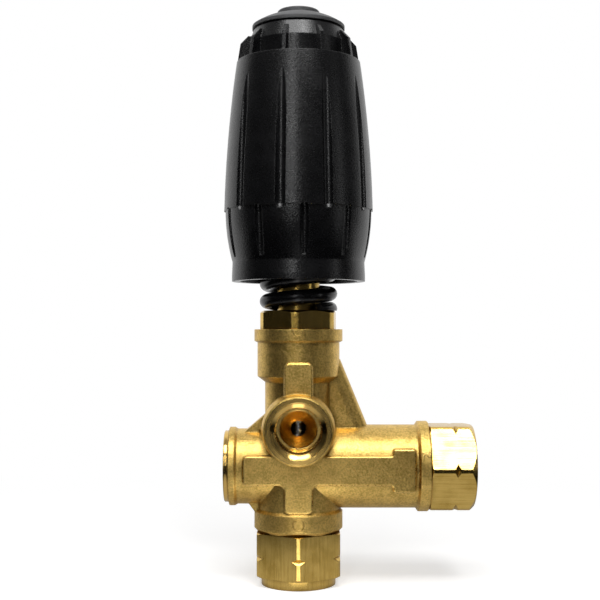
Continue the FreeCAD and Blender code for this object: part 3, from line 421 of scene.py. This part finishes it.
@dataclass(frozen=True)
class DrawnBrass(Finish):
    """Bright brass bar: streaked along its length on the flats, and turned elsewhere."""

    name: str = "bar_brass"
    along: Axis = Axis.Z
    light: Colour = (0.80, 0.55, 0.16)
    deep: Colour = (0.52, 0.335, 0.07)
    # Colour of the painted shade in the bars' creases and corners.
    crease: Colour = (0.16, 0.075, 0.012)
    streak_size: float = 0.5 * MM
    band_size: float = 2.2 * MM
    smear_size: float = 5.5 * MM
    streak_stretch: float = 0.035
    crease_shade_reach: float = 1.6 * MM
    roughness: float = 0.09
    depth: float = 0.06 * MM
    edge: float = 0.3 * MM

    def paint(self, tree: Tree) -> None:
        """Draws streaks that run along the bar.

        Args:
            tree: The material's nodes.
        """
        place = tree.place()
        along = tree.scaled(place, self.along.stretch(self.streak_stretch, 1.0))
        streaks = tree.noise(along, self.streak_size, 4.0, 0.65)
        bands = tree.noise(along, self.band_size, 1.0)
        smear = tree.noise(place, self.smear_size, 3.0)
        # Painted shade: ambient occlusion darkens creases towards the crease colour.
        crease_shade = 1 - tree.shadow(self.crease_shade_reach)
        colour = tree.blend((streaks * 0.6 + smear * 0.5).rise(0.38, 0.80), self.light, self.deep)
        height = streaks * 0.2 + bands * 1.1 + smear * 0.2
        tree.surface(
            Base_Color=tree.blend(crease_shade * 0.8, colour, self.crease),
            Metallic=1.0,
            Roughness=streaks * 0.16 + smear * 0.12 + self.roughness,
            Normal=tree.relief(height, self.depth, self.edge),
        )


@dataclass(frozen=True)
class TurnedMetal(Finish):
    """Plain turned or plated metal with fine rings across its axis."""

    name: str
    colour: Colour
    roughness: float = 0.22
    along: Axis = Axis.Z
    ring_size: float = 0.22 * MM
    ring_stretch: float = 0.03
    cloud_size: float = 3.0 * MM
    dimming: float = 0.72
    depth: float = 0.03 * MM
    edge: float = 0.2 * MM

    def paint(self, tree: Tree) -> None:
        """Draws fine rings and slight stains.

        Args:
            tree: The material's nodes.
        """
        place = tree.place()
        across = tree.scaled(place, self.along.stretch(1.0, self.ring_stretch))
        rings = tree.noise(across, self.ring_size)
        cloud = tree.noise(place, self.cloud_size)
        dim = tuple(channel * self.dimming for channel in self.colour)
        tree.surface(
            Base_Color=tree.blend((rings * 0.5 + cloud * 0.5).rise(0.3, 0.75), self.colour, dim),
            Metallic=1.0,
            Roughness=rings * 0.12 + cloud * 0.08 + self.roughness,
            Normal=tree.relief(rings, self.depth, self.edge),
        )


@dataclass(frozen=True)
class Moulding(Finish):
    """Satin plastic with a fine grain and scuffed high spots."""

    name: str
    colour: Colour
    scuff: Colour
    roughness: float
    gloss: float = 0.5
    grain: float = 0.6 * MM
    rub_size: float = 6.0 * MM
    speck_size: float = 0.7 * MM
    depth: float = 0.06 * MM
    edge: float = 0.45 * MM

    def paint(self, tree: Tree) -> None:
        """Draws the mould's grain, with softly scuffed high spots.

        Args:
            tree: The material's nodes.
        """
        place = tree.place()
        grain = tree.noise(place, self.grain, 2.0, 0.6)
        rub = tree.noise(place, self.rub_size, 3.0)
        specks = tree.noise(place, self.speck_size, 1.0).rise(0.68, 0.78)
        worn = (rub.rise(0.45, 0.75) * 0.35 + specks * 0.5).held()
        tree.surface(
            Base_Color=tree.blend(worn, self.colour, self.scuff),
            Roughness=grain * 0.16 + rub * 0.10 + self.roughness,
            Specular_IOR_Level=self.gloss,
            Normal=tree.relief(grain, self.depth, self.edge),
        )


@dataclass(frozen=True)
class Lacquer(Finish):
    """Glossy black lacquer over spring wire."""

    name: str = "black_spring"
    colour: Colour = (0.008, 0.008, 0.009)
    rubbed: Colour = (0.05, 0.05, 0.055)
    roughness: float = 0.16
    gloss: float = 0.35
    ripple_size: float = 1.4 * MM
    rub_size: float = 4.0 * MM
    depth: float = 0.03 * MM

    def paint(self, tree: Tree) -> None:
        """Draws gloss with faint ripples.

        Args:
            tree: The material's nodes.
        """
        place = tree.place()
        ripple = tree.noise(place, self.ripple_size)
        rub = tree.noise(place, self.rub_size)
        tree.surface(
            Base_Color=tree.blend(rub.rise(0.55, 0.8) * 0.4, self.colour, self.rubbed),
            Roughness=ripple * 0.14 + self.roughness,
            Specular_IOR_Level=self.gloss,
            Normal=tree.relief(ripple, self.depth, 0.0),
        )


@dataclass(frozen=True)
class SoftRing(Finish):
    """Rubber or fluoropolymer of a seal."""

    name: str
    colour: Colour
    roughness: float
    grain: float = 0.25 * MM
    dimming: float = 0.7
    depth: float = 0.02 * MM

    def paint(self, tree: Tree) -> None:
        """Draws a dull surface with a moulded grain.

        Args:
            tree: The material's nodes.
        """
        grain = tree.noise(tree.place(), self.grain)
        dim = tuple(channel * self.dimming for channel in self.colour)
        tree.surface(
            Base_Color=tree.blend(grain, self.colour, dim),
            Roughness=grain * 0.15 + self.roughness,
            Normal=tree.relief(grain, self.depth, 0.0),
        )


FORGED = ForgedBrass()
BAR_UP = DrawnBrass()
BAR_ACROSS = DrawnBrass("bar_brass_across", Axis.X)
THREAD_BRASS = TurnedMetal("thread_brass", (0.78, 0.56, 0.22), 0.16)
INNER_BRASS = TurnedMetal("inner_brass", (0.78, 0.58, 0.25), 0.2)
STAINLESS = TurnedMetal("stainless", (0.62, 0.62, 0.62), 0.16)
ZINC = TurnedMetal("zinc_steel", (0.52, 0.52, 0.54), 0.3)
KNOB_BLACK = Moulding("black_moulding", (0.003, 0.003, 0.0035), (0.010, 0.010, 0.011), 0.15)
CAP_GREY = Moulding("grey_moulding", (0.075, 0.076, 0.078), (0.12, 0.12, 0.124), 0.37)
SPRING_BLACK = Lacquer()
NITRILE = SoftRing("rubber", (0.02, 0.02, 0.02), 0.5)
PTFE = SoftRing("ptfe", (0.8, 0.8, 0.77), 0.4)


@dataclass
class Shape:
    """Points and faces of a mesh while it is being built."""

    points: list[Vector] = field(default_factory=list)
    faces: list[tuple[int, ...]] = field(default_factory=list)

    def tube(self, rings: Sequence[Sequence[Vector]], closed: bool = False) -> "Shape":
        """Skins a row of rings of equal length.

        Args:
            rings: The sections in order.
            closed: Whether the last section meets the first; if not, both ends are capped.

        Returns:
            This shape.
        """
        first = len(self.points)
        count = len(rings[0])
        for section in rings:
            self.points.extend(section)
        spans = len(rings) if closed else len(rings) - 1
        for row in range(spans):
            low = first + row * count
            high = first + (row + 1) % len(rings) * count
            for k in range(count):
                following = (k + 1) % count
                self.faces.append((low + k, low + following, high + following, high + k))
        if not closed:
            self.faces.append(tuple(first + k for k in reversed(range(count))))
            last = first + (len(rings) - 1) * count
            self.faces.append(tuple(last + k for k in range(count)))
        return self

    def piece(self, name: str, finish: Finish, turn: Matrix | None = None) -> bpy.types.Object:
        """Makes the object.

        Args:
            name: Its name.
            finish: Its finish.
            turn: Where it goes, if it isn't drawn in place.

        Returns:
            The object, with its place in its mesh.
        """
        mesh = bpy.data.meshes.new(name)
        mesh.from_pydata([tuple(point) for point in self.points], [], self.faces)
        if turn is not None:
            mesh.transform(turn)
        mesh.validate()
        mesh.update()
        mesh.shade_smooth()
        mesh.set_sharp_from_angle(angle=SHARP_ANGLE)
        mesh.materials.append(finish.material())
        made = bpy.data.objects.new(name, mesh)
        bpy.context.scene.collection.objects.link(made)
        return made


def dress(frame: Frame, finish: Finish, nodes: Iterable[str]) -> None:
    """Gives CAD nodes a finish.

    Args:
        finish: Their finish.
        nodes: Their names.
    """
    for name in nodes:
        slots = frame["nodes"][name].material_slots
        if not slots:
            frame["nodes"][name].data.materials.append(finish.material())
        for used in slots:
            used.material = finish.material()
        LOG.info("%s is finished as %s", name, finish.name)


@dataclass
class Coil:
    """A spring of round wire with closed, ground ends, drawn along +Z from height 0."""

    length: float
    mean_r: float
    wire_r: float
    turns: float
    gap: float = 0.12 * MM
    start: float = 0.0
    steps: int = 64
    sides: int = 20

    def centre(self, turn: float) -> Vector:
        """Finds the middle of the wire.

        Args:
            turn: How many turns up the wire, the closed ones counted.

        Returns:
            Its place.
        """
        closed = 2 * self.wire_r + self.gap
        pitch = (self.length - 2 * closed) / self.turns
        lower = min(turn, 1.0) * closed
        middle = min(max(turn - 1.0, 0.0), self.turns) * pitch
        upper = max(turn - 1.0 - self.turns, 0.0) * closed
        angle = self.start + TURN * turn
        around = Vector((math.cos(angle), math.sin(angle), 0)) * self.mean_r
        return around + Vector((0, 0, lower + middle + upper))

    def shape(self, first: float = 0.0, last: float | None = None) -> Shape:
        """The wire between two counts of turns.

        Args:
            first: Where it starts.
            last: Where it ends, or None for the spring's upper end.

        Returns:
            The skinned wire, ground flat at the spring's ends.
        """
        end = self.turns + 2.0 if last is None else last
        count = max(2, round((end - first) * self.steps))
        rings = []
        for step in range(count + 1):
            turn = first + (end - first) * step / count
            centre = self.centre(turn)
            out = Vector((centre.x, centre.y, 0)).normalized()
            ring = []
            for k in range(self.sides):
                angle = TURN * k / self.sides
                point = centre + out * (self.wire_r * math.cos(angle))
                point.z += self.wire_r * math.sin(angle)
                point.z = min(max(point.z, 0.0), self.length)
                ring.append(point)
            rings.append(ring)
        return Shape().tube(rings)


@dataclass
class Thread:
    """A fine screw thread: a closed ridge wound on a cylinder along +Z from height 0."""

    radius: float
    length: float
    pitch: float = 1.337 * MM
    depth: float = 0.32 * MM
    inward: bool = True
    sink: float = 0.04 * MM
    root_share: float = 0.46
    crest_share: float = 0.06
    end_share: float = 0.04
    steps: int = 48

    def shape(self) -> Shape:
        """Winds the ridge, which fades over a quarter of a turn at both ends.

        Returns:
            The skinned ridge.
        """
        turns = self.length / self.pitch - 1.0
        count = round(turns * self.steps)
        side = -1.0 if self.inward else 1.0
        rings = []
        for step in range(count + 1):
            turn = turns * step / count
            angle = TURN * turn
            fade = min(1.0, 4 * turn, 4 * (turns - turn)) * (1 - self.end_share) + self.end_share
            up = self.pitch * (turn + 0.5)
            root = self.radius - side * self.sink
            crest = self.radius + side * self.depth * fade
            out = Vector((math.cos(angle), math.sin(angle), 0))
            flank = self.root_share * self.pitch * fade
            flat = self.crest_share * self.pitch * fade
            section = [(root, -flank), (crest, -flat), (crest, flat), (root, flank)]
            if self.inward:
                section.reverse()
            rings.append([out * r + Vector((0, 0, up + rise)) for r, rise in section])
        return Shape().tube(rings)


@dataclass
class Forging:
    """The forged body, its port threads and the marks that the dies left."""

    frame: Frame
    mark_r: float = 1.75 * MM
    mark_wire: float = 0.2 * MM
    mark_rise: float = 0.45
    mark_steps: int = 40
    mark_sides: int = 8
    lower_mark_up: float = 21.4 * MM
    upper_mark_up: float = 83.1 * MM
    flange_r: float = 14.5 * MM
    thread_gap: float = 0.3 * MM

    def build(self) -> None:
        """Dresses the forging and adds its threads and marks."""
        dress(self.frame, FORGED, ["valve_body"])
        self.add_threads()
        self.add_mark("ejector_mark", self.lower_mark_up, 0.0, TURN)
        self.add_mark("upper_ejector_mark", self.upper_mark_up, math.pi, TURN)

    def add_threads(self) -> None:
        """Winds a thread into each of the four ports, from the mounts' own sizes."""
        names = {"inlet_port": "inlet_thread", "outlet_port": "outlet_thread",
                 "side_inlet_port": "side_thread", "bypass_port": "bypass_thread"}
        for mount in self.frame["record"]["mounts"]:
            if mount["name"] not in names:
                continue
            depth = mount["dims"]["length_mm"] * MM
            inwards = -Vector(mount["axis"])
            turn = inwards.to_track_quat("Z", "Y").to_matrix().to_4x4()
            turn = Matrix.Translation(Vector(mount["pos_m"])) @ turn
            thread = Thread(mount["dims"]["r_mm"] * MM, depth - self.thread_gap)
            piece = thread.shape().piece(names[mount["name"]], THREAD_BRASS, turn)
            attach(piece, "valve")
            LOG.info("%s is wound %.1f mm deep", piece.name, depth / MM)

    def add_mark(self, name: str, up: float, first: float, last: float) -> None:
        """Raises a fine ring on the front of a flange.

        Args:
            name: The piece's name.
            up: Height of its centre.
            first: Angle where the ring starts.
            last: Angle where it ends.
        """
        rings = []
        for step in range(self.mark_steps + 1):
            angle = first + (last - first) * step / self.mark_steps
            x, rise = self.mark_r * math.cos(angle), self.mark_r * math.sin(angle)
            middle = math.asin(x / self.flange_r) - math.pi / 2
            out = Vector((math.cos(middle), math.sin(middle), 0))
            side = Vector((math.cos(angle), 0, math.sin(angle)))
            centre = out * self.flange_r + Vector((0, 0, up + rise))
            section = []
            for k in range(self.mark_sides):
                turn = TURN * k / self.mark_sides
                lift = out * (self.mark_rise * math.cos(turn)) + side * math.sin(turn)
                section.append(centre + lift * self.mark_wire)
            rings.append(section)
        piece = Shape().tube(rings).piece(name, FORGED)
        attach(piece, "valve")


@dataclass
class Fittings:
    """The two hexagon fittings and the guide that closes the body."""

    frame: Frame

    def build(self) -> None:
        """Dresses the three hexagons, each with streaks along its own bar."""
        dress(self.frame, BAR_UP, ["inlet_fitting", "piston_guide"])
        dress(self.frame, BAR_ACROSS, ["outlet_fitting"])


@dataclass
class Seals:
    """O-rings, backup rings and the wiper."""

    frame: Frame

    def build(self) -> None:
        """Dresses the rubber and the fluoropolymer rings."""
        rubber = ["guide_o_ring", "rod_seal", "rod_wiper", "seat_o_ring", "inlet_o_ring",
                  "outlet_o_ring", "piston_o_ring", "check_o_ring"]
        dress(self.frame, NITRILE, rubber)
        dress(self.frame, PTFE, ["rod_backup_ring", "piston_backup_ring"])


@dataclass
class Running:
    """The rod, seat, ball and check valve, with the rod's thread and the two small springs."""

    frame: Frame
    rod_r: float = 4.0 * MM
    rod_pitch: float = 1.25 * MM
    rod_thread_depth: float = 0.04 * MM
    rod_end: float = 1.2 * MM
    ball_coil_r: float = 3.9 * MM
    ball_turns: float = 7.0
    check_coil_r: float = 5.0 * MM
    check_turns: float = 4.0
    fine_wire_r: float = 0.4 * MM
    fine_steps: int = 40
    fine_sides: int = 10
    ball_drop: float = 2.5 * MM
    check_lift: float = 3.0 * MM

    def build(self) -> None:
        """Dresses the inner pieces and winds their springs."""
        dress(self.frame, STAINLESS, ["piston_rod", "valve_seat", "shutter_ball", "thrust_washer"])
        dress(self.frame, ZINC, ["spring_plate", "stop_nut"])
        dress(self.frame, INNER_BRASS, ["check_poppet", "knob_insert"])
        self.cut_rod_thread()
        self.wind_ball_spring()
        self.wind_check_spring()

    def cut_rod_thread(self) -> None:
        """Winds the thread on the upper end of the rod, clear of the plate and the knob's hub."""
        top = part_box("piston_rod")[1].z
        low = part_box("stop_nut")[0].z
        length = top - low - self.rod_end
        thread = Thread(self.rod_r, length, self.rod_pitch, self.rod_thread_depth, inward=False)
        piece = thread.shape().piece("rod_thread", STAINLESS, Matrix.Translation((0, 0, low)))
        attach(piece, "rod")

    def fine_coil(self, length: float, mean_r: float, turns: float) -> Coil:
        """A light spring of fine wire."""
        steps, sides = self.fine_steps, self.fine_sides
        return Coil(length, mean_r, self.fine_wire_r, turns, steps=steps, sides=sides)

    def wind_ball_spring(self) -> None:
        """The light spring under the ball."""
        low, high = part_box("ball_spring")
        length = high.z - low.z
        coil = self.fine_coil(length, self.ball_coil_r, self.ball_turns)
        piece = coil.shape().piece("ball_coil", STAINLESS, Matrix.Translation((0, 0, low.z)))
        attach(piece, "valve")
        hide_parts("ball_spring")
        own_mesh(piece)

    def wind_check_spring(self) -> None:
        """The spring behind the poppet."""
        low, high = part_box("check_spring")
        length = high.x - low.x
        coil = self.fine_coil(length, self.check_coil_r, self.check_turns)
        turn = Matrix.Rotation(math.pi / 2, 4, "Y")
        turn = Matrix.Translation((low.x, 0, (low.z + high.z) / 2)) @ turn
        piece = coil.shape().piece("check_coil", STAINLESS, turn)
        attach(piece, "valve")
        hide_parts("check_spring")
        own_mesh(piece)


@dataclass
class MainSpring:
    """The black spring in two stretches: its foot stays on the body and the rest rides with the rod.
    """

    frame: Frame
    wire_r: float = 2.3 * MM
    turns: float = 7.2
    start: float = math.radians(-52.0)
    foot_turns: float = 4.0
    rod_travel: float = 2.5 * MM
    knob_travel: float = 7.5 * MM

    def build(self) -> None:
        """Winds both stretches of the wire."""
        low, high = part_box("main_spring")
        coil = Coil(high.z - low.z, high.x - self.wire_r, self.wire_r, self.turns, start=self.start)
        lift = Matrix.Translation((0, 0, low.z))
        foot = coil.shape(0.0, self.foot_turns).piece("spring_foot", SPRING_BLACK, lift)
        head = coil.shape(self.foot_turns).piece("spring_head", SPRING_BLACK, lift)
        split = coil.centre(self.foot_turns).z
        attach(foot, "valve")
        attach(head, "rod")
        for piece in (foot, head):
            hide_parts("main_spring")
        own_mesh(foot)
        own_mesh(head)
        LOG.info("spring_foot and spring_head meet at %.1f mm", (low.z + split) / MM)


@dataclass
class Knob:
    """The fluted knob and its grey cap."""

    frame: Frame

    def build(self) -> None:
        """Dresses the mouldings."""
        dress(self.frame, KNOB_BLACK, ["knob"])
        dress(self.frame, CAP_GREY, ["knob_cap"])


@dataclass
class Softbox:
    """One soft lamp that points at the valve."""

    name: str
    azimuth: float
    elevation: float
    distance: float
    width: float
    height: float
    watts: float

    def build(self, target: Vector) -> None:
        """Hangs the lamp.

        Args:
            target: What it points at.
        """
        lamp = bpy.data.lights.new(self.name, "AREA")
        lamp.shape = "RECTANGLE"
        lamp.size, lamp.size_y = self.width, self.height
        lamp.energy = self.watts
        placed = bpy.data.objects.new(self.name, lamp)
        turn, lift = math.radians(self.azimuth), math.radians(self.elevation)
        level = Vector((math.sin(turn), -math.cos(turn), 0)) * math.cos(lift)
        away = level + Vector((0, 0, math.sin(lift)))
        placed.location = target + away * self.distance
        placed.rotation_euler = away.to_track_quat("Z", "Y").to_euler()
        bpy.context.scene.collection.objects.link(placed)


@dataclass
class Studio:
    """Camera, lamps, floor and the white surroundings."""

    focal_px: float = 1080.0
    frame_px: float = 600.0
    horizon_px: float = 332.0
    sensor_mm: float = 36.0
    distance: float = 0.356
    camera_x: float = 0.0005
    camera_up: float = 0.0826
    target_x: float = 0.01
    floor_half: float = 3.0
    floor_tone: float = 0.80
    floor_glow: float = 0.56
    floor_middle: float = 0.015
    plain_from: float = 0.10
    plain_to: float = 0.30
    back_from: float = 0.05
    back_to: float = 0.25
    foot_from: float = 0.05
    foot_to: float = 0.15
    foot_shine: float = 0.45
    # Narrow floor strip in front that glows only in reflections: a painted reflection.
    glow_strip_half: float = 0.010
    glow_strip_back: float = -0.022
    glow_strip_strength: float = 1.9
    behind_glow: float = 0.9
    ceiling_glow: float = 0.3
    room_glow: float = 0.03
    fill_glow: float = 0.18
    lamps: tuple[Softbox, ...] = (
        Softbox("right_strip", 66, 8, 0.80, 0.08, 0.50, 0.20),
        Softbox("top_softbox", -6, 60, 0.70, 0.56, 0.34, 3.5),
        Softbox("front_strip", -12, 21, 0.80, 0.06, 0.46, 0.75),
        Softbox("small_lamp", 13, 51, 0.67, 0.11, 0.11, 0.42),
    )

    def build(self) -> None:
        """Sets everything around the valve."""
        low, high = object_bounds()
        target = Vector((self.target_x, 0, (low.z + high.z) / 2))
        for lamp in self.lamps:
            lamp.build(target)
        self.add_camera()
        self.add_floor(low.z)
        self.light_world()
        bpy.context.scene.view_settings.view_transform = "Standard"

    def add_camera(self) -> None:
        """Places the camera level, with the frame shifted to the photograph's horizon."""
        camera = bpy.data.cameras.new("camera")
        camera.sensor_width = self.sensor_mm
        camera.lens = self.focal_px / self.frame_px * self.sensor_mm
        camera.shift_y = (self.horizon_px - self.frame_px / 2) / self.frame_px
        camera.clip_start = 0.01
        placed = bpy.data.objects.new("camera", camera)
        placed.location = (self.camera_x, -self.distance, self.camera_up)
        placed.rotation_euler = (math.pi / 2, 0, 0)
        bpy.context.scene.collection.objects.link(placed)
        bpy.context.scene.camera = placed

    def add_floor(self, level: float) -> None:
        """Lays the pale floor.

        Args:
            level: Its height.
        """
        half = self.floor_half
        square = ((-half, -half), (half, -half), (half, half), (-half, half))
        corners = [(x, y, level) for x, y in square]
        mesh = bpy.data.meshes.new("floor")
        mesh.from_pydata(corners, [], [(0, 1, 2, 3)])
        mesh.materials.append(self.floor_material())
        floor = bpy.data.objects.new("floor", mesh)
        bpy.context.scene.collection.objects.link(floor)
        floor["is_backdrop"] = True

    def floor_material(self) -> bpy.types.Material:
        """Paints the floor, which looks white where no shadow falls.

        The metal sees it bright behind the valve, dimmer at its foot, brightest in a narrow strip in
        front, which glows only in reflections and bounced light as a painted reflection, and dark
        elsewhere.

        Returns:
            The material.
        """
        material = bpy.data.materials.new("pale_floor")
        tree = Tree(material)
        x, y, _ = tree.parts(tree.place())
        out = ((x - self.floor_middle) ** 2 + y * y) ** 0.5
        camera, glossy, through = tree.rays()
        seen = camera.most(glossy).most(through)
        foot = (1 - out.rise(self.foot_from, self.foot_to)) * self.foot_shine
        # Painted reflection: the strip glows brighter than white for every ray except the camera's.
        glow_strip = (x < self.glow_strip_half) * (x > -self.glow_strip_half) * (y < self.glow_strip_back) * self.glow_strip_strength
        lit = camera.most(y.rise(self.back_from, self.back_to)).most(foot).most(glow_strip * (1 - camera))
        strength = seen * lit * self.floor_glow
        matt = tree.node("ShaderNodeBsdfDiffuse", {}, {"Color": lit * self.floor_tone})
        glow = tree.node("ShaderNodeEmission", {}, {"Color": WHITE, "Strength": strength})
        shaded = tree.node("ShaderNodeAddShader", {}, {0: matt, 1: glow})
        plain = tree.node("ShaderNodeEmission", {}, {"Color": WHITE, "Strength": 1.0})
        share = out.rise(self.plain_from, self.plain_to) * seen * lit
        shader = tree.node("ShaderNodeMixShader", {}, {0: share, 1: shaded, 2: plain})
        tree.raw("ShaderNodeOutputMaterial", {}, {"Surface": shader})
        return material

    def light_world(self) -> None:
        """Sets white behind the valve, and a dimmer room in front of it for what shines."""
        world = bpy.data.worlds.new("studio")
        bpy.context.scene.world = world
        tree = Tree(world)
        camera, glossy, _ = tree.rays()
        way = tree.node("ShaderNodeTexCoord", {}, {}, "Generated")
        _, back, up = tree.parts(way)
        room = back.rise(0.1, 0.55) * self.behind_glow + up.rise(0.3, 0.95) * self.ceiling_glow
        room = (room + self.room_glow).held()
        strength = camera + (1 - camera) * (glossy * room + (1 - glossy) * self.fill_glow)
        glow = tree.node("ShaderNodeBackground", {}, {"Color": WHITE, "Strength": strength})
        tree.raw("ShaderNodeOutputWorld", {}, {"Surface": glow})


def main() -> None:
    """Builds the valve's looks piece by piece and the studio around it."""
    logging.basicConfig(level=logging.INFO, format="%(message)s")
    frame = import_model()
    for group in (Forging, Fittings, Seals, Running, MainSpring, Knob):
        group(frame).build()
    Studio().build()
    bpy.context.view_layer.update()


if __name__ == "__main__":
    main()
